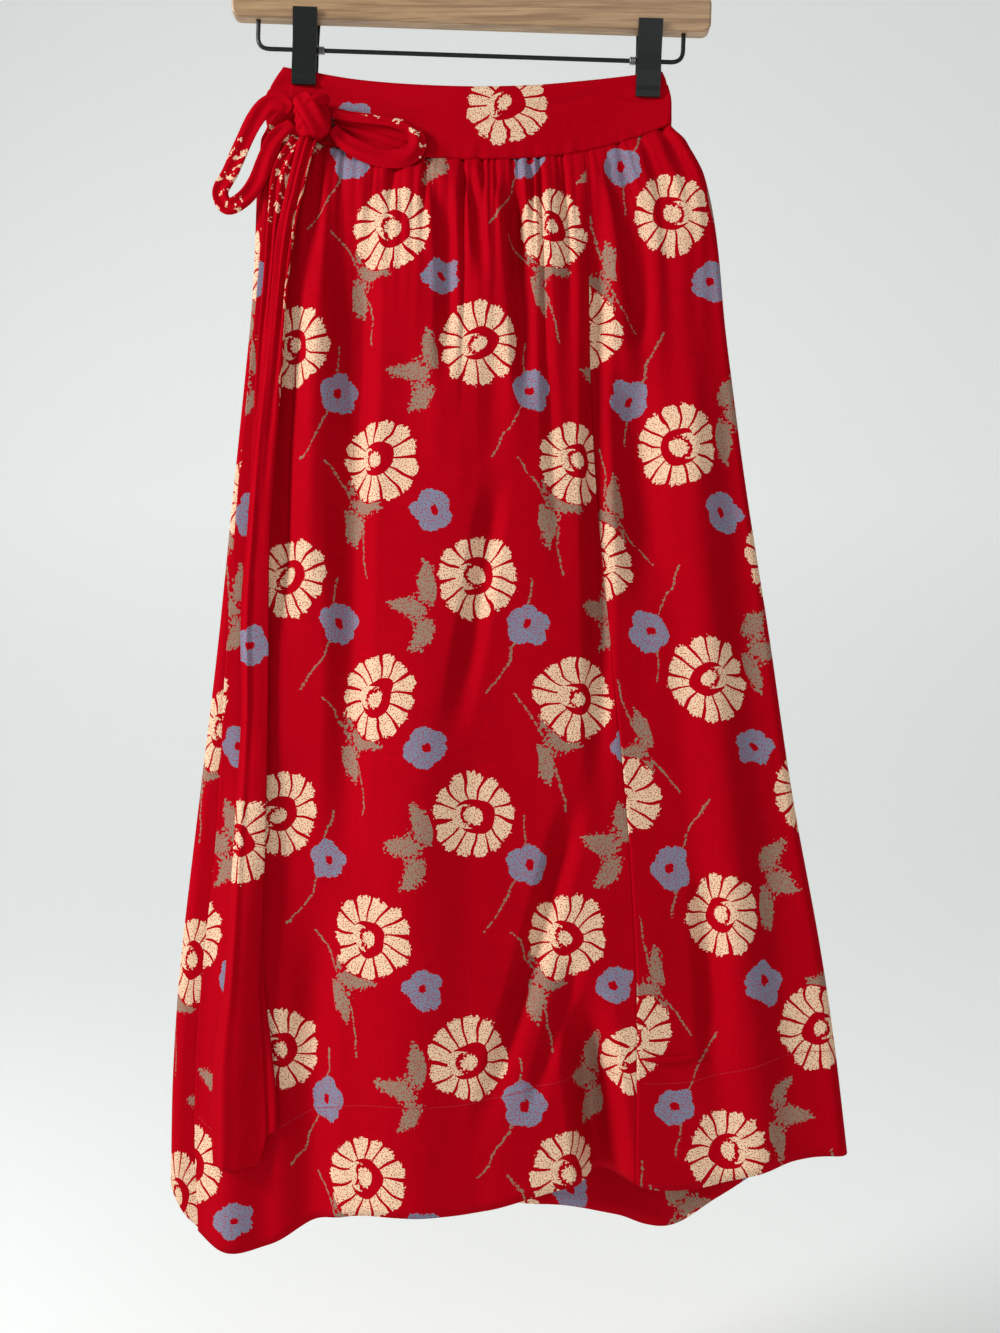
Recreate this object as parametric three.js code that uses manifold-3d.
// Wrap skirt hanging from a clip hanger, in millimetres: +X to the right as seen, +Y back, +Z up.
// The origin is the inside top of the hanger's hook, where a rail would hold it.
import * as THREE from 'three';
import * as BufferGeometryUtils from 'three/addons/utils/BufferGeometryUtils.js';
import Module from 'manifold-3d';

const wasm = await Module();
wasm.setup();

// Driving dimensions
const CLOTH = 1.4; // skirt wall, measured straight out of the loop
const BAND = 1.2; // waistband wall
const SEAM_GAP = 0.3;
const BAND_DEPTH = 53; // waistband, top edge to seam
const SKIRT_LENGTH = 790; // seam to hem, down the middle
const LAYER_GAP = 2.2; // between the flap and the layer under it, at the hem
const CORNER_SHARE = 0.03; // share of the front's width that turns each side fold
const BACK_SEAM_SHARE = 0.14; // place of the seam on the back, across from the left
const UNDER_REACH = 0.3; // how far the hidden end goes under the flap
const FLAP_EASE = 0.55; // share of the flap past which it comes down to the panel seam
const ROOM = 1; // least space kept between a valley and the middle of the loop
const BAND_BOW = 6; // how far the band stands off between the clips
const CLIP_GRIP = 16; // cloth held straight by the jaws, from the top edge
const CLIP_RELEASE = 95; // cloth below this no longer shows the grip

const BAR_LENGTH = 356;
const BAR_THICK = 12;
const BAR_BOTTOM = -97.6;
const BAR_END_HEIGHT = 27;
const BAR_RISE = 18;
const HANGER_TILT = THREE.MathUtils.degToRad(1.9);
const WIRE_RADIUS = 1.65; // rail
const HOOK_RADIUS = 2;
const HOOK_BEND = 20; // inside radius of the hook
const RAIL_HALF = 158.5;
const RAIL_Z = -118.6;
const RAIL_CORNER = 9;
const SOCKET_DEPTH = 8; // wire let into the wood
const SOCKET_REST = 1.3; // left free behind the rail's ends
const CLIP_WIDTH = 18;
const CLIP_SHEET = 1.3;
const CLIP_SHIFT = -4.5; // sideways at the jaws, from the hanger's tilt
const EAR = { radius: 3.4, halfHeight: 2.4, reach: 4.8, sheet: 1.2, play: 0.5 };
const SPRING = { coils: 3, pitch: 1.6, root: 0.4, crest: 1.3 };
const CLEARANCE = 0.3;
const WIRE_SIDES = 8;
const CLIPS = [
  { name: 'clip_left', x: -122.7, frontJaw: 3.4, backJaw: 1.9, springSide: 1 },
  { name: 'clip_right', x: 133, frontJaw: 1.9, backJaw: 1.9, springSide: -1 },
];

// Outline of the band by share of its depth: x of the left fold, right fold and flap's end.
const bandSections = [
  { down: 0, left: -143.5, right: 139.5, flapEdge: -136.5, corner: 1.6 },
  { down: 0.2, left: -149.5, right: 143, flapEdge: -137, corner: 1.6 },
  { down: 0.5, left: -156.5, right: 146, flapEdge: -140, corner: 1.8 },
  { down: 0.8, left: -157, right: 146.2, flapEdge: -150, corner: 2.1 },
  { down: 1, left: -155.3, right: 145.7, flapEdge: -153, corner: 2.6 },
];

// Outline of the skirt by share of its length: the folds at its sides, their radius, how far the
// loop swells between them, and where the flap's edge and the panel seam cross.
const skirtSections = [
  { down: 0, left: -155.3, right: 145.7, corner: 2.6, swell: 7, flapEdge: -153, panelSeam: 81 },
  { down: 0.02, left: -156, right: 154.6, corner: 2.8, swell: 8, flapEdge: -153.5, panelSeam: 81.6 },
  { down: 0.05, left: -158.3, right: 166.6, corner: 3.2, swell: 9.5, flapEdge: -155.4, panelSeam: 82.4 },
  { down: 0.12, left: -162.5, right: 178.8, corner: 4, swell: 12, flapEdge: -159, panelSeam: 84.5 },
  { down: 0.22, left: -170.2, right: 188.2, corner: 5, swell: 14.5, flapEdge: -166, panelSeam: 86.5 },
  { down: 0.35, left: -180.6, right: 201.2, corner: 6, swell: 17, flapEdge: -175.5, panelSeam: 92 },
  { down: 0.5, left: -192.5, right: 219.1, corner: 7, swell: 19.5, flapEdge: -184, panelSeam: 101 },
  { down: 0.65, left: -206.7, right: 235.8, corner: 8, swell: 21.5, flapEdge: -190.5, panelSeam: 111 },
  { down: 0.8, left: -220.1, right: 256.7, corner: 9, swell: 23, flapEdge: -202.5, panelSeam: 117 },
  { down: 0.9, left: -225.3, right: 267.9, corner: 9.5, swell: 24, flapEdge: -206, panelSeam: 117 },
  { down: 1, left: -226.8, right: 276.8, corner: 10, swell: 25, flapEdge: -203, panelSeam: 116 },
];

// Heights of the band's top edge and seam by share of the width.
const waistLine = [
  { across: 0, top: -127.5, seam: -170.5 },
  { across: 0.07, top: -131.5, seam: -180 },
  { across: 0.2, top: -138.5, seam: -191.5 },
  { across: 0.35, top: -143.5, seam: -197.5 },
  { across: 0.5, top: -145.6, seam: -200 },
  { across: 0.65, top: -143.7, seam: -198.2 },
  { across: 0.8, top: -138.6, seam: -191.2 },
  { across: 0.93, top: -133.5, seam: -179 },
  { across: 1, top: -131, seam: -170.5 },
];

// Heights of the hem by share of the width, on the front and on the back.
const hemLine = [
  { across: 0, front: -957, back: -957 },
  { across: 0.03, front: -981, back: -962 },
  { across: 0.09, front: -998, back: -972 },
  { across: 0.15, front: -996, back: -980 },
  { across: 0.22, front: -978, back: -985 },
  { across: 0.3, front: -967.5, back: -988 },
  { across: 0.45, front: -964.5, back: -991 },
  { across: 0.58, front: -949, back: -990.5 },
  { across: 0.66, front: -945, back: -995 },
  { across: 0.71, front: -953, back: -998 },
  { across: 0.78, front: -953.5, back: -989 },
  { across: 0.87, front: -942, back: -960 },
  { across: 0.94, front: -936, back: -944 },
  { across: 1, front: -935.5, back: -935.5 },
];

// Large folds: where each starts and ends down the cloth, its place across at both ends, its half
// width and its depth, inward when negative. A fold that ends at 1 or past it runs out at the hem.
const frontFolds = [
  { name: 'beside the tie', from: 0.18, to: 0.46, acrossFrom: 0.077, acrossTo: 0.112, half: 11, depth: -5 },
  { name: 'long left valley', from: 0.01, to: 0.74, acrossFrom: 0.215, acrossTo: 0.26, half: 21, depth: -8 },
  { name: 'left of centre', from: 0.01, to: 0.24, acrossFrom: 0.42, acrossTo: 0.41, half: 11, depth: -5 },
  { name: 'short centre', from: 0.005, to: 0.13, acrossFrom: 0.49, acrossTo: 0.49, half: 8, depth: -4 },
  { name: 'deep centre', from: 0.005, to: 0.27, acrossFrom: 0.572, acrossTo: 0.574, half: 12, depth: -8 },
  { name: 'beside the seam', from: 0.02, to: 0.68, acrossFrom: 0.745, acrossTo: 0.665, half: 14, depth: -8 },
  { name: 'right gathers', from: 0.005, to: 0.22, acrossFrom: 0.83, acrossTo: 0.815, half: 13, depth: -9 },
  { name: 'broad right hollow', from: 0.2, to: 0.46, acrossFrom: 0.795, acrossTo: 0.79, half: 24, depth: -7 },
  { name: 'upper slant', from: 0.3, to: 0.58, acrossFrom: 0.52, acrossTo: 0.42, half: 15, depth: -5 },
  { name: 'long slant', from: 0.62, to: 0.95, acrossFrom: 0.64, acrossTo: 0.45, half: 16, depth: -7 },
  { name: 'short slant', from: 0.78, to: 0.93, acrossFrom: 0.62, acrossTo: 0.53, half: 12, depth: -4 },
  { name: 'soft right', from: 0.7, to: 0.92, acrossFrom: 0.835, acrossTo: 0.81, half: 16, depth: -5 },
  { name: 'hem recess', from: 0.8, to: 1.25, acrossFrom: 0.62, acrossTo: 0.66, half: 24, depth: -19 },
  { name: 'flap corner', from: 0.5, to: 1.4, acrossFrom: 0.1, acrossTo: 0.09, half: 30, depth: 7 },
  { name: 'left ridge', from: 0.04, to: 0.5, acrossFrom: 0.13, acrossTo: 0.17, half: 17, depth: 4 },
  { name: 'middle ridge', from: 0.4, to: 1.4, acrossFrom: 0.36, acrossTo: 0.36, half: 52, depth: 6 },
  { name: 'right ridge', from: 0.06, to: 1.4, acrossFrom: 0.91, acrossTo: 0.84, half: 30, depth: 6 },
  { name: 'lower left hollow', from: 0.66, to: 1.3, acrossFrom: 0.21, acrossTo: 0.22, half: 26, depth: -7 },
];
const backFolds = [
  { name: 'left valley', from: 0.01, to: 0.6, acrossFrom: 0.2, acrossTo: 0.24, half: 20, depth: -6 },
  { name: 'short left', from: 0.005, to: 0.24, acrossFrom: 0.33, acrossTo: 0.34, half: 11, depth: -6 },
  { name: 'centre left', from: 0.01, to: 0.3, acrossFrom: 0.47, acrossTo: 0.46, half: 14, depth: -7 },
  { name: 'centre right', from: 0.02, to: 0.86, acrossFrom: 0.62, acrossTo: 0.56, half: 20, depth: -8 },
  { name: 'short right', from: 0.005, to: 0.22, acrossFrom: 0.71, acrossTo: 0.71, half: 12, depth: -6 },
  { name: 'right valley', from: 0.02, to: 0.5, acrossFrom: 0.83, acrossTo: 0.79, half: 18, depth: -7 },
  { name: 'hem left', from: 0.6, to: 1.3, acrossFrom: 0.3, acrossTo: 0.31, half: 34, depth: -10 },
  { name: 'hem right', from: 0.55, to: 1.3, acrossFrom: 0.73, acrossTo: 0.75, half: 36, depth: -10 },
  { name: 'left swell', from: 0.3, to: 1.4, acrossFrom: 0.14, acrossTo: 0.15, half: 40, depth: 7 },
  { name: 'middle swell', from: 0.5, to: 1.4, acrossFrom: 0.45, acrossTo: 0.45, half: 46, depth: 7 },
  { name: 'right swell', from: 0.2, to: 1.4, acrossFrom: 0.9, acrossTo: 0.9, half: 34, depth: 6 },
];

// Stretches round the loop, in order from the left fold: how many gathers each takes in at the
// seam, and how many columns carry it below them.
const stretches = [
  { name: 'left fold to flap edge', gathers: 0, fine: 4, coarse: 4 },
  { name: 'flap', gathers: 28, fine: 56, coarse: 28 },
  { name: 'panel seam to right fold', gathers: 8, fine: 16, coarse: 12 },
  { name: 'right fold', gathers: 0, fine: 6, coarse: 6 },
  { name: 'back', gathers: 32, fine: 64, coarse: 32 },
  { name: 'back seam to left fold', gathers: 3, fine: 8, coarse: 5 },
  { name: 'left fold, back half', gathers: 0, fine: 3, coarse: 3 },
];
const FLAP = 1;
const RIGHT_OF_SEAM = 2;
const RIGHT_FOLD_MIDDLE = 3.5;
const BACK_SEAM = 5;
const LEFT_FOLD = 7;
const GATHER_DEPTH = { least: 1.6, most: 3.4 };
const GATHER_REACH = { least: 0.1, most: 0.23 };
const gatherRows = [0, 0.01, 0.05, 0.12, 0.23];
const foldRows = [0.3, 0.38, 0.46, 0.54, 0.62, 0.7, 0.78, 0.85, 0.92, 1];

// Front tie end and the one behind it, by share of the skirt's length: x of both edges.
const frontTail = [
  { down: 0.0035, left: -123.5, right: -115, off: 7 },
  { down: 0.06, left: -131, right: -121, off: 5 },
  { down: 0.12, left: -141, right: -131.5, off: 4 },
  { down: 0.2, left: -149, right: -140, off: 3.8 },
  { down: 0.28, left: -160, right: -145.5, off: 3.8 },
  { down: 0.36, left: -166, right: -149, off: 3.8 },
  { down: 0.44, left: -171, right: -150, off: 3.8 },
  { down: 0.52, left: -170, right: -150, off: 3.8 },
  { down: 0.6, left: -172.5, right: -149.5, off: 3.8 },
  { down: 0.68, left: -175, right: -151, off: 3.8 },
  { down: 0.76, left: -179, right: -154, off: 3.8 },
  { down: 0.82, left: -187, right: -152, off: 3.8 },
  { down: 0.88, left: -189, right: -150, off: 3.8 },
  { down: 0.905, left: -188.5, right: -150.5, off: 3.8 },
  { down: 0.923, left: -187.5, right: -155, off: 3.8 },
];
const backTail = [
  { down: 0.0045, left: -127, right: -119, off: 2.6 },
  { down: 0.08, left: -134, right: -125, off: 1.9 },
  { down: 0.2, left: -149, right: -140.5, off: 1.6 },
  { down: 0.34, left: -163, right: -150, off: 1.6 },
  { down: 0.5, left: -168, right: -151, off: 1 },
  { down: 0.64, left: -170, right: -152, off: 1 },
  { down: 0.76, left: -176, right: -152, off: 1 },
  { down: 0.82, left: -182, right: -147, off: 1.6 },
  { down: 0.87, left: -186, right: -143, off: 1.6 },
  { down: 0.9, left: -186, right: -142.5, off: 1.6 },
];
const TAIL_COLUMNS = 5;
const TAIL_TIP = 0.86; // the tip's own rows start here
const TAIL_CREASE = 1.4; // the lengthwise fold of the front one

// Bow, as centre lines of soft tubes: place, width across the strip and thickness.
const KNOT = { x: -119.5, z: -170.6, halfWidth: 13, halfHeight: 16.5, halfDepth: 8, roundness: 0.72 };
const leftLoop = [
  { x: -134.7, z: -164.5, y: 0, width: 9, thick: 5 },
  { x: -141, z: -160.5, y: -1, width: 13, thick: 5 },
  { x: -152, z: -161.5, y: -1, width: 14, thick: 4.5 },
  { x: -162, z: -172, y: 0, width: 14, thick: 4 },
  { x: -171, z: -189, y: 1, width: 13, thick: 4 },
  { x: -180, z: -210, y: 1, width: 13, thick: 4 },
  { x: -187.5, z: -225, y: 1, width: 12, thick: 4.5 },
  { x: -182, z: -235.5, y: 1, width: 12, thick: 4.5 },
  { x: -170, z: -229.5, y: 1, width: 12, thick: 4.5 },
  { x: -160.5, z: -217, y: 0, width: 13, thick: 4 },
  { x: -153, z: -200, y: -1, width: 13, thick: 4 },
  { x: -146.5, z: -186, y: -1, width: 12, thick: 4 },
  { x: -134.7, z: -174.5, y: 0, width: 8, thick: 4 },
];
const rightLoop = [
  { x: -104.5, z: -167, y: 0, width: 8, thick: 5 },
  { x: -93, z: -169.5, y: -1, width: 8, thick: 4.5 },
  { x: -77, z: -172, y: -2, width: 8, thick: 4 },
  { x: -61, z: -175, y: -3, width: 8, thick: 4 },
  { x: -48.5, z: -180, y: -3, width: 10, thick: 4.5 },
  { x: -42.5, z: -188, y: -3, width: 13, thick: 5.5 },
  { x: -45, z: -196.5, y: -3, width: 14, thick: 5.5 },
  { x: -54.5, z: -201.5, y: -3, width: 14, thick: 4.5 },
  { x: -69, z: -201, y: -2, width: 13, thick: 4 },
  { x: -85, z: -195, y: -1, width: 13, thick: 4 },
  { x: -98, z: -186.5, y: 0, width: 11, thick: 4 },
  { x: -104.5, z: -178.5, y: 0, width: 8, thick: 4 },
];
const LOOP_SIDES = 8;
const LOOP_STEPS = 26;

const cloth = new THREE.MeshStandardMaterial({ color: '#af0115', roughness: 0.55 });
const wood = new THREE.MeshStandardMaterial({ color: '#ad8a67', roughness: 0.6 });
const blackMetal = new THREE.MeshStandardMaterial({ color: '#212827', roughness: 0.35, metalness: 0.8 });
const brightMetal = new THREE.MeshStandardMaterial({ color: '#9a9c9d', roughness: 0.3, metalness: 1 });

// Reads a column of a table at a place between its rows, rounded off by a cubic.
function reading(table, key, place, column) {
  const last = table.length - 1;
  let i = 0;
  while (i < last - 1 && table[i + 1][key] < place) i += 1;
  const slope = (k) => {
    const a = table[Math.max(k - 1, 0)];
    const b = table[Math.min(k + 1, last)];
    return (b[column] - a[column]) / (b[key] - a[key]);
  };
  const a = table[i];
  const b = table[i + 1];
  const span = b[key] - a[key];
  const s = THREE.MathUtils.clamp((place - a[key]) / span, 0, 1);
  const bend = s * s * (3 - 2 * s);
  const leaving = (s - 2 * s * s + s * s * s) * span * slope(i);
  const arriving = (s * s * s - s * s) * span * slope(i + 1);
  return a[column] + (b[column] - a[column]) * bend + leaving + arriving;
}

function seededRandom(seed) {
  let state = seed;
  return () => {
    state = (state * 1664525 + 1013904223) % 4294967296;
    return state / 4294967296;
  };
}

// Levels: one height station of the loop, in the band or in the skirt.
function grip(belowTop) {
  return 1 - THREE.MathUtils.smoothstep(belowTop, CLIP_GRIP, CLIP_RELEASE);
}

function swellShape(share) {
  return Math.sin(Math.PI * THREE.MathUtils.clamp(share, 0, 1)) ** 1.5;
}

function bowBetweenClips(x) {
  const aside = CLIP_WIDTH / 2 + 2;
  const start = CLIPS[0].x + CLIP_SHIFT + aside;
  const end = CLIPS[1].x + CLIP_SHIFT - aside;
  return BAND_BOW * swellShape((x - start) / (end - start));
}

function makeLevel(sections, down, belowTop, swell, heightAt) {
  const level = {
    left: reading(sections, 'down', down, 'left'),
    right: reading(sections, 'down', down, 'right'),
    corner: reading(sections, 'down', down, 'corner'),
    flapEdge: reading(sections, 'down', down, 'flapEdge'),
    heightAt,
  };
  level.halfDepth = (x) => {
    const inner = (x - level.left - level.corner) / (level.right - level.left - 2 * level.corner);
    const held = grip(belowTop);
    return level.corner + held * bowBetweenClips(x) + (1 - held) * swell * swellShape(inner);
  };
  return level;
}

function bandLevel(down) {
  const top = (across) => reading(waistLine, 'across', across, 'top');
  const seam = (across) => reading(waistLine, 'across', across, 'seam') + SEAM_GAP / 2;
  const heightAt = (across) => THREE.MathUtils.lerp(top(across), seam(across), down);
  const level = makeLevel(bandSections, down, down * BAND_DEPTH, skirtSections[0].swell, heightAt);
  level.panelSeam = skirtSections[0].panelSeam;
  level.down = 0;
  level.folded = 0;
  level.layer = BAND + SEAM_GAP;
  return level;
}

function skirtLevel(down) {
  const seam = (across) => reading(waistLine, 'across', across, 'seam') - SEAM_GAP / 2;
  const hem = (across, side) => reading(hemLine, 'across', across, side);
  const heightAt = (across, side) => THREE.MathUtils.lerp(seam(across), hem(across, side), down);
  const swell = reading(skirtSections, 'down', down, 'swell');
  const level = makeLevel(skirtSections, down, BAND_DEPTH + down * SKIRT_LENGTH, swell, heightAt);
  level.panelSeam = reading(skirtSections, 'down', down, 'panelSeam');
  level.down = down;
  level.folded = 1;
  level.layer = CLOTH + SEAM_GAP + (LAYER_GAP - SEAM_GAP) * THREE.MathUtils.smoothstep(down, 0, 0.4);
  return level;
}

// The loop is walked from the left fold (0) along the front to the right fold (1) and back (2).
function loopPoint(level, turn) {
  const back = turn > 1;
  const share = back ? 2 - turn : turn;
  const side = back ? 1 : -1;
  const { left, right, corner } = level;
  if (share < CORNER_SHARE) {
    const angle = (share / CORNER_SHARE) * (Math.PI / 2);
    return new THREE.Vector2(left + corner * (1 - Math.cos(angle)), side * corner * Math.sin(angle));
  }
  if (share > 1 - CORNER_SHARE) {
    const angle = ((1 - share) / CORNER_SHARE) * (Math.PI / 2);
    return new THREE.Vector2(right - corner * (1 - Math.cos(angle)), side * corner * Math.sin(angle));
  }
  const inner = (share - CORNER_SHARE) / (1 - 2 * CORNER_SHARE);
  const x = THREE.MathUtils.lerp(left + corner, right - corner, inner);
  return new THREE.Vector2(x, side * level.halfDepth(x));
}

function turnAtX(level, x) {
  const { left, right, corner } = level;
  const inside = x - left;
  if (inside < corner) return (Math.acos(1 - inside / corner) / (Math.PI / 2)) * CORNER_SHARE;
  return CORNER_SHARE + ((1 - 2 * CORNER_SHARE) * (inside - corner)) / (right - left - 2 * corner);
}

// Turns a place counted in stretches (1.5 is half way along the flap) into a turn round the loop.
function turnAt(level, place) {
  const marks = [
    0,
    turnAtX(level, level.flapEdge),
    turnAtX(level, level.panelSeam),
    1 - CORNER_SHARE,
    1 + CORNER_SHARE,
    2 - CORNER_SHARE - (1 - 2 * CORNER_SHARE) * BACK_SEAM_SHARE,
    2 - CORNER_SHARE,
    2,
  ];
  const i = Math.min(Math.floor(place), stretches.length - 1);
  return THREE.MathUtils.lerp(marks[i], marks[i + 1], place - i);
}

function foldAt(folds, across, down, width) {
  let sum = 0;
  for (const fold of folds) {
    const run = (down - fold.from) / (fold.to - fold.from);
    if (run <= 0 || run >= 1) continue;
    const middle = THREE.MathUtils.lerp(fold.acrossFrom, fold.acrossTo, run);
    const aside = ((across - middle) * width) / fold.half;
    if (Math.abs(aside) >= 1) continue;
    const fade = THREE.MathUtils.smoothstep(run, 0, 0.22) * (1 - THREE.MathUtils.smoothstep(run, 0.6, 1));
    sum += fold.depth * fade * Math.cos((aside * Math.PI) / 2) ** 2;
  }
  return sum;
}

// Gathers: each ridge has its own depth and reach; the valleys between stay on the loop.
const roll = seededRandom(41);
const gathers = stretches.map(({ gathers: count }) =>
  Array.from({ length: 2 * count + 1 }, (_, k) => ({
    depth: k % 2 === 0 ? 0 : THREE.MathUtils.lerp(GATHER_DEPTH.least, GATHER_DEPTH.most, roll()),
    reach: THREE.MathUtils.lerp(GATHER_REACH.least, GATHER_REACH.most, roll()),
  })),
);

function gatherFade(down, reach) {
  const rise = THREE.MathUtils.lerp(0.55, 1, THREE.MathUtils.smoothstep(down, 0, 0.01));
  return rise * (1 - THREE.MathUtils.smoothstep(down, reach * 0.25, reach));
}

function gatherAt(place, down) {
  const i = Math.min(Math.floor(place), stretches.length - 1);
  const ridges = gathers[i];
  const along = (place - i) * (ridges.length - 1);
  const k = Math.min(Math.floor(along), ridges.length - 2);
  if (k < 0) return 0;
  const height = ({ depth, reach }) => depth * gatherFade(down, reach);
  return THREE.MathUtils.lerp(height(ridges[k]), height(ridges[k + 1]), along - k);
}

// How far the flap lies out from the layer under it, nothing at the panel seam.
function flapLift(level, place) {
  if (place < FLAP || place > RIGHT_OF_SEAM) return 0;
  return level.layer * (1 - THREE.MathUtils.smoothstep(place - FLAP, FLAP_EASE, 0.95));
}

// A point of the cloth: on the loop at this place, moved out by lift, its folds and gathers.
function skinPoint(level, place, lift, nudge) {
  const gathered = lift + level.folded * gatherAt(place, level.down);
  return skinAtTurn(level, turnAt(level, place), gathered, { nudge });
}

function skinAtTurn(level, turn, lift, { nudge = 0, bridges = false } = {}) {
  const step = 0.0005;
  const here = loopPoint(level, turn);
  const ahead = loopPoint(level, Math.min(turn + step, 2));
  const behind = loopPoint(level, Math.max(turn - step, 0));
  const along = ahead.sub(behind).normalize();
  const across = (here.x - level.left) / (level.right - level.left);
  const back = turn > 1;
  const width = level.right - level.left;
  const edge = THREE.MathUtils.smoothstep(Math.min(across, 1 - across) * width, 0, 3 * level.corner);
  let fold = level.folded * edge * foldAt(back ? backFolds : frontFolds, across, level.down, width);
  fold = Math.max(fold, ROOM + CLOTH - Math.abs(here.y));
  if (Math.abs(here.y) < ROOM + CLOTH || level.folded === 0) fold = 0;
  if (bridges) fold = Math.max(fold, 0);
  const out = lift + fold;
  return new THREE.Vector3(
    here.x + along.y * out + along.x * nudge,
    here.y - along.x * out + along.y * nudge,
    level.heightAt(across, back ? 'back' : 'front'),
  );
}

// Closes two facing skins into one wall. Each row is a list of { at, outer, inner } points, and
// rows may have different counts: the strip between two rows steps to whichever point comes next.
function closedWall(rows) {
  const positions = [];
  const index = [];
  const placed = rows.map((row) =>
    row.map(({ at, outer, inner }) => {
      const first = positions.length / 3;
      positions.push(outer.x, outer.y, outer.z, inner.x, inner.y, inner.z);
      return { at, outer: first, inner: first + 1 };
    }),
  );
  const triangle = (a, b, c) => index.push(a, b, c);
  const strip = (above, below) => {
    let i = 0;
    let j = 0;
    while (i < above.length - 1 || j < below.length - 1) {
      const stepAbove =
        j === below.length - 1 || (i < above.length - 1 && above[i + 1].at <= below[j + 1].at);
      if (stepAbove) {
        triangle(above[i].outer, below[j].outer, above[i + 1].outer);
        triangle(above[i].inner, above[i + 1].inner, below[j].inner);
        i += 1;
      } else {
        triangle(above[i].outer, below[j].outer, below[j + 1].outer);
        triangle(above[i].inner, below[j + 1].inner, below[j].inner);
        j += 1;
      }
    }
  };
  const rim = (a, b) => {
    triangle(a.outer, b.outer, b.inner);
    triangle(a.outer, b.inner, a.inner);
  };
  for (let r = 0; r < placed.length - 1; r += 1) {
    strip(placed[r], placed[r + 1]);
    rim(placed[r + 1][0], placed[r][0]);
    rim(placed[r].at(-1), placed[r + 1].at(-1));
  }
  for (let k = 0; k < placed[0].length - 1; k += 1) rim(placed[0][k], placed[0][k + 1]);
  const last = placed.at(-1);
  for (let k = 0; k < last.length - 1; k += 1) rim(last[k + 1], last[k]);
  return indexed(positions, index);
}

function indexed(positions, index) {
  const geometry = new THREE.BufferGeometry();
  geometry.setAttribute('position', new THREE.Float32BufferAttribute(positions, 3));
  geometry.setIndex(index);
  geometry.computeVertexNormals();
  return geometry;
}

// Places of a panel's columns between two places of the loop, in either fineness.
function columnsBetween(from, to, fineness) {
  const places = [from];
  for (let i = Math.floor(from); i < to; i += 1) {
    const count = stretches[i % stretches.length][fineness];
    for (let k = 0; k < count; k += 1) {
      const place = i + k / count;
      if (place > from + 0.01 && place < to - 0.01) places.push(place);
    }
  }
  places.push(to);
  return places;
}

function clothPanel({ from, to, levels, wall, lifted }) {
  const rows = levels.map(({ level, fineness }) =>
    columnsBetween(from, to, fineness).map((at, k, all) => {
      const nudge = k === 0 ? SEAM_GAP / 2 : k === all.length - 1 ? -SEAM_GAP / 2 : 0;
      const place = at > LEFT_FOLD ? at - LEFT_FOLD : at;
      const lift = lifted ? flapLift(level, place) : 0;
      return {
        at,
        outer: skinPoint(level, place, lift, nudge),
        inner: skinPoint(level, place, lift - wall, nudge),
      };
    }),
  );
  return closedWall(rows);
}

const skirtLevels = [
  ...gatherRows.map((down) => ({ level: skirtLevel(down), fineness: 'fine' })),
  ...foldRows.map((down) => ({ level: skirtLevel(down), fineness: 'coarse' })),
];
const bandLevels = [0, 0.33, 0.66, 1].map((down) => ({
  level: bandLevel(down),
  fineness: down === 1 ? 'fine' : 'coarse',
}));

// A tie end: a strip laid on the flap, made from the flap's own points moved out. It bridges the
// valleys and clears the gathers, and has the flap's rows and its own tip.
function tieTail(table, creaseDepth) {
  const first = table[0].down;
  const last = table.at(-1).down;
  const shared = [...gatherRows, ...foldRows].filter((down) => down > first + 0.004 && down < last - 0.004);
  const tip = table.map(({ down }) => down).filter((down) => down > TAIL_TIP && !shared.includes(down));
  const downs = [first, ...shared, ...tip].sort((a, b) => a - b);
  const rows = downs.map((down) => {
    const level = skirtLevel(down);
    const left = reading(table, 'down', down, 'left');
    const right = reading(table, 'down', down, 'right');
    const off = reading(table, 'down', down, 'off') + GATHER_DEPTH.most * gatherFade(down, GATHER_REACH.most);
    return Array.from({ length: TAIL_COLUMNS }, (_, k) => {
      const share = k / (TAIL_COLUMNS - 1);
      const turn = turnAtX(level, THREE.MathUtils.lerp(left, right, share));
      const lift = level.layer + off + (k === 1 ? creaseDepth : 0);
      return {
        at: share,
        outer: skinAtTurn(level, turn, lift + CLOTH, { bridges: true }),
        inner: skinAtTurn(level, turn, lift, { bridges: true }),
      };
    });
  });
  return closedWall(rows);
}

// A tube of oval section through points that lie in the picture's plane, closed at both ends.
function sweep(points, sides, halfSizesAt) {
  const positions = [];
  const index = [];
  const face = new THREE.Vector3(0, -1, 0);
  const last = points.length - 1;
  points.forEach((point, r) => {
    const arriving = point.clone().sub(points[Math.max(r - 1, 0)]).normalize();
    const leaving = points[Math.min(r + 1, last)].clone().sub(point).normalize();
    const side = new THREE.Vector3().crossVectors(face, arriving.add(leaving)).normalize();
    const [halfWidth, halfThick] = halfSizesAt(r / last);
    for (let k = 0; k < sides; k += 1) {
      const angle = (k / sides) * 2 * Math.PI;
      const corner = point
        .clone()
        .addScaledVector(side, halfWidth * Math.cos(angle))
        .addScaledVector(face, halfThick * Math.sin(angle));
      positions.push(corner.x, corner.y, corner.z);
    }
  });
  for (let r = 0; r < last; r += 1) {
    for (let k = 0; k < sides; k += 1) {
      const a = r * sides + k;
      const b = r * sides + ((k + 1) % sides);
      index.push(a, b, b + sides, a, b + sides, a + sides);
    }
  }
  const end = last * sides;
  for (let k = 1; k < sides - 1; k += 1) index.push(0, k + 1, k, end, end + k, end + k + 1);
  return indexed(positions, index);
}

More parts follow.
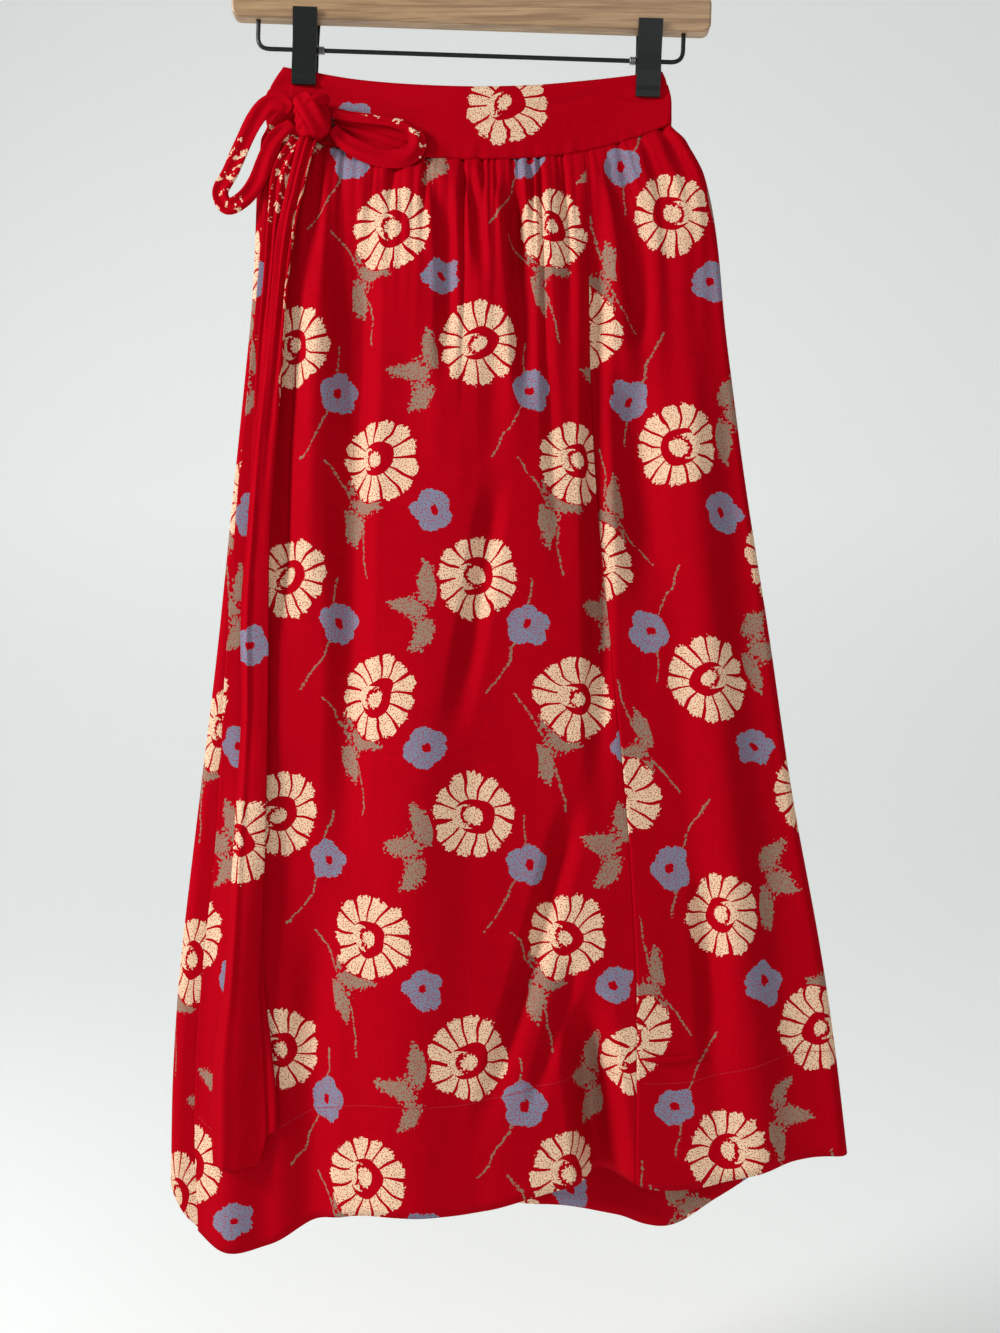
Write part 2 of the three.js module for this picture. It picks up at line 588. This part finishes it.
function bowLoop(stations) {
  const depth = knotDepth();
  const middle = stations.map(({ x, y, z }) => new THREE.Vector3(x, depth + y, z));
  const points = new THREE.CatmullRomCurve3(middle, false, 'centripetal').getPoints(LOOP_STEPS);
  return sweep(points, LOOP_SIDES, (share) => {
    const along = share * (stations.length - 1);
    const k = Math.min(Math.floor(along), stations.length - 2);
    const a = stations[k];
    const b = stations[k + 1];
    const half = (column) => THREE.MathUtils.lerp(a[column], b[column], along - k) / 2;
    return [half('width'), half('thick')];
  });
}

function knotDepth() {
  const level = bandLevel(0.85);
  const seat = skinAtTurn(level, turnAtX(level, KNOT.x), flapLift(level, FLAP)).y;
  return seat - SEAM_GAP - KNOT.halfDepth;
}

function bowKnot() {
  const geometry = new THREE.SphereGeometry(1, 14, 10);
  geometry.rotateX(Math.PI / 2);
  const position = geometry.attributes.position;
  const squared = (value) => Math.sign(value) * Math.abs(value) ** KNOT.roundness;
  for (let i = 0; i < position.count; i += 1) {
    const p = new THREE.Vector3().fromBufferAttribute(position, i);
    const x = squared(p.x) * KNOT.halfWidth;
    const y = squared(p.y) * KNOT.halfDepth;
    position.setXYZ(i, x, y, squared(p.z) * KNOT.halfHeight);
  }
  geometry.translate(KNOT.x, knotDepth(), KNOT.z);
  return BufferGeometryUtils.mergeVertices(bare(geometry));
}

// Solid helpers for the hanger's hard pieces
function bare(geometry) {
  geometry.deleteAttribute('normal');
  geometry.deleteAttribute('uv');
  return geometry;
}

function solidOf(geometry) {
  const merged = BufferGeometryUtils.mergeVertices(bare(geometry));
  const vertProperties = new Float32Array(merged.attributes.position.array);
  const triVerts = new Uint32Array(merged.index.array);
  return new wasm.Manifold(new wasm.Mesh({ numProp: 3, vertProperties, triVerts }));
}

function geometryOf(solid) {
  const { vertProperties, triVerts } = solid.getMesh();
  return indexed(Array.from(vertProperties), Array.from(triVerts));
}

function rod(radius, length, sides = 12) {
  return new THREE.CylinderGeometry(radius, radius, length, sides);
}

function hangerBar() {
  const half = BAR_LENGTH / 2;
  const round = 7;
  const bevel = 1.6;
  const shoulder = half * 0.6;
  const crown = half * 0.35;
  const top = BAR_END_HEIGHT + BAR_RISE;
  const shape = new THREE.Shape();
  shape.moveTo(-half + round, 0);
  shape.lineTo(half - round, 0);
  shape.quadraticCurveTo(half, 0, half, round);
  shape.lineTo(half, BAR_END_HEIGHT - round);
  shape.quadraticCurveTo(half, BAR_END_HEIGHT, half - round, BAR_END_HEIGHT);
  shape.bezierCurveTo(shoulder, BAR_END_HEIGHT, crown, top, 0, top);
  shape.bezierCurveTo(-crown, top, -shoulder, BAR_END_HEIGHT, -half + round, BAR_END_HEIGHT);
  shape.quadraticCurveTo(-half, BAR_END_HEIGHT, -half, BAR_END_HEIGHT - round);
  shape.lineTo(-half, round);
  shape.quadraticCurveTo(-half, 0, -half + round, 0);
  const geometry = new THREE.ExtrudeGeometry(shape, {
    depth: BAR_THICK - 2 * bevel,
    bevelThickness: bevel,
    bevelSize: bevel,
    bevelOffset: -bevel,
    bevelSegments: 2,
    curveSegments: 6,
  });
  geometry.translate(0, 0, -BAR_THICK / 2 + bevel);
  geometry.rotateX(Math.PI / 2);
  geometry.translate(0, 0, BAR_BOTTOM);
  let solid = solidOf(geometry);
  const outside = 1; // the bores start clear of the wood
  const middle = SOCKET_DEPTH / 2 - outside;
  const bores = [
    { x: -RAIL_HALF, z: BAR_BOTTOM + middle, radius: WIRE_RADIUS + CLEARANCE },
    { x: RAIL_HALF, z: BAR_BOTTOM + middle, radius: WIRE_RADIUS + CLEARANCE },
    { x: 0, z: BAR_BOTTOM + top - middle, radius: HOOK_RADIUS + CLEARANCE },
  ];
  for (const { x, z, radius } of bores) {
    const bore = rod(radius, SOCKET_DEPTH + 2 * outside);
    bore.rotateX(Math.PI / 2);
    bore.translate(x, 0, z);
    solid = solid.subtract(solidOf(bore));
  }
  return geometryOf(solid);
}

// The hook: straight out of the bar, round the right-hand side and over the rail to its tip.
function hangerHook() {
  const bend = HOOK_BEND + HOOK_RADIUS;
  const centreZ = HOOK_RADIUS - bend;
  const foot = BAR_BOTTOM + BAR_END_HEIGHT + BAR_RISE - SOCKET_DEPTH + CLEARANCE;
  const stem = 10;
  const lean = 3;
  const points = [
    new THREE.Vector3(0, 0, foot),
    new THREE.Vector3(0, 0, foot + stem),
    new THREE.Vector3(lean, 0, centreZ - bend - HOOK_RADIUS),
  ];
  for (let degrees = -60; degrees <= 195; degrees += 15) {
    const angle = THREE.MathUtils.degToRad(degrees);
    points.push(new THREE.Vector3(bend * Math.cos(angle), 0, centreZ + bend * Math.sin(angle)));
  }
  const path = new THREE.CatmullRomCurve3(points, false, 'catmullrom', 0.5);
  return sweep(path.getPoints(40), WIRE_SIDES, () => [HOOK_RADIUS, HOOK_RADIUS]);
}

function hangerRail() {
  const top = BAR_BOTTOM + SOCKET_DEPTH - SOCKET_REST;
  const low = RAIL_Z + RAIL_CORNER;
  const inset = RAIL_HALF - RAIL_CORNER;
  const place = (x, z) => new THREE.Vector3(x, 0, z);
  const straight = (a, b) => new THREE.LineCurve3(a, b);
  const bend = (a, corner, b) => new THREE.QuadraticBezierCurve3(a, corner, b);
  const path = new THREE.CurvePath();
  path.add(straight(place(-RAIL_HALF, top), place(-RAIL_HALF, low)));
  path.add(bend(place(-RAIL_HALF, low), place(-RAIL_HALF, RAIL_Z), place(-inset, RAIL_Z)));
  path.add(straight(place(-inset, RAIL_Z), place(inset, RAIL_Z)));
  path.add(bend(place(inset, RAIL_Z), place(RAIL_HALF, RAIL_Z), place(RAIL_HALF, low)));
  path.add(straight(place(RAIL_HALF, low), place(RAIL_HALF, top)));
  return sweep(path.getPoints(6), WIRE_SIDES, () => [WIRE_RADIUS, WIRE_RADIUS]);
}

// One half of a clip: a bent plate with a lever, two ears round the rail and a jaw.
function clipHalf(side, jaw, earAt) {
  const inner = [
    { out: 8.2, up: 27.5 },
    { out: 4.1, up: 4 },
    { out: 4.7, up: -9 },
    { out: jaw + CLIP_SHEET, up: -20 },
    { out: jaw, up: -23 },
    { out: jaw, up: -27.5 },
  ];
  const outer = inner.map(({ out, up }) => ({ out: out + CLIP_SHEET, up })).reverse();
  const corners = [...inner, ...outer].map(({ out, up }) => new THREE.Vector2(side * out, up));
  const plate = new THREE.Shape(corners);
  const lengthwise = (shape, from, width) => {
    const geometry = new THREE.ExtrudeGeometry(shape, { depth: width, bevelEnabled: false });
    geometry.applyMatrix4(new THREE.Matrix4().set(0, 0, 1, from, 1, 0, 0, 0, 0, 1, 0, 0, 0, 0, 0, 1));
    return geometry;
  };
  let solid = solidOf(lengthwise(plate, -CLIP_WIDTH / 2, CLIP_WIDTH));
  const ear = new THREE.Shape();
  ear.absarc(0, 0, EAR.radius, 0, 2 * Math.PI);
  const neck = new THREE.Shape([
    new THREE.Vector2(0, -EAR.halfHeight),
    new THREE.Vector2(side * EAR.reach, -EAR.halfHeight),
    new THREE.Vector2(side * EAR.reach, EAR.halfHeight),
    new THREE.Vector2(0, EAR.halfHeight),
  ]);
  for (const from of [-earAt - EAR.sheet, earAt]) {
    solid = solid.add(solidOf(lengthwise(ear, from, EAR.sheet)));
    solid = solid.add(solidOf(lengthwise(neck, from, EAR.sheet)));
  }
  const bore = rod(WIRE_RADIUS + CLEARANCE, 2 * CLIP_WIDTH);
  bore.rotateZ(Math.PI / 2);
  solid = solid.subtract(solidOf(bore));
  return geometryOf(solid);
}

function clipSpring() {
  const inside = WIRE_RADIUS + CLEARANCE;
  const { coils, pitch, root, crest } = SPRING;
  const profile = [new THREE.Vector2(inside, 0)];
  for (let k = 0; k < coils; k += 1) {
    profile.push(new THREE.Vector2(inside + root, k * pitch));
    profile.push(new THREE.Vector2(inside + crest, (k + 0.5) * pitch));
  }
  profile.push(new THREE.Vector2(inside + root, coils * pitch));
  profile.push(new THREE.Vector2(inside, coils * pitch));
  profile.push(new THREE.Vector2(inside, 0));
  const geometry = new THREE.LatheGeometry(profile, 12);
  geometry.rotateZ(-Math.PI / 2);
  return BufferGeometryUtils.mergeVertices(bare(geometry));
}

const skirt = new THREE.Group();

function addPiece(parent, name, geometry, material) {
  geometry.computeVertexNormals();
  const mesh = new THREE.Mesh(geometry, material);
  mesh.name = name;
  parent.add(mesh);
  return mesh;
}

const panels = [
  { name: 'front_panel', from: FLAP, to: RIGHT_OF_SEAM, lifted: true },
  { name: 'back_panel', from: RIGHT_OF_SEAM, to: BACK_SEAM, lifted: false },
  { name: 'side_panel', from: BACK_SEAM, to: LEFT_FOLD, lifted: false },
  { name: 'under_panel', from: LEFT_FOLD, to: LEFT_FOLD + FLAP + UNDER_REACH, lifted: false },
];
for (const { name, ...panel } of panels) {
  addPiece(skirt, name, clothPanel({ ...panel, levels: skirtLevels, wall: CLOTH }), cloth);
}

const bands = [
  { name: 'waistband_front', from: FLAP, to: RIGHT_FOLD_MIDDLE, lifted: true },
  { name: 'waistband_back', from: RIGHT_FOLD_MIDDLE, to: BACK_SEAM + 1, lifted: false },
  { name: 'waistband_under', from: BACK_SEAM + 1, to: LEFT_FOLD + FLAP + UNDER_REACH, lifted: false },
];
for (const { name, ...band } of bands) {
  addPiece(skirt, name, clothPanel({ ...band, levels: bandLevels, wall: BAND }), cloth);
}

addPiece(skirt, 'tie_tail_front', tieTail(frontTail, TAIL_CREASE), cloth);
addPiece(skirt, 'tie_tail_back', tieTail(backTail, 0), cloth);
addPiece(skirt, 'bow_knot', bowKnot(), cloth);
addPiece(skirt, 'bow_loop_left', bowLoop(leftLoop), cloth);
addPiece(skirt, 'bow_loop_right', bowLoop(rightLoop), cloth);

const hanger = new THREE.Group();
hanger.rotation.y = HANGER_TILT;
skirt.add(hanger);
addPiece(hanger, 'hanger_bar', hangerBar(), wood);
addPiece(hanger, 'hanger_hook', hangerHook(), blackMetal);
addPiece(hanger, 'hanger_rail', hangerRail(), blackMetal);
const outerEar = CLIP_WIDTH / 2 - EAR.sheet;
const innerEar = outerEar - EAR.sheet - EAR.play;
for (const { name, x, frontJaw, backJaw, springSide } of CLIPS) {
  const clip = new THREE.Group();
  clip.position.set(x, 0, RAIL_Z);
  hanger.add(clip);
  addPiece(clip, `${name}_front`, clipHalf(-1, frontJaw, outerEar), blackMetal);
  addPiece(clip, `${name}_back`, clipHalf(1, backJaw, innerEar), blackMetal);
  const spring = addPiece(clip, `${name}_spring`, clipSpring(), brightMetal);
  spring.rotation.y = springSide > 0 ? 0 : Math.PI;
  spring.position.x = springSide * (CLIP_WIDTH / 2 + CLEARANCE);
}

export default skirt;
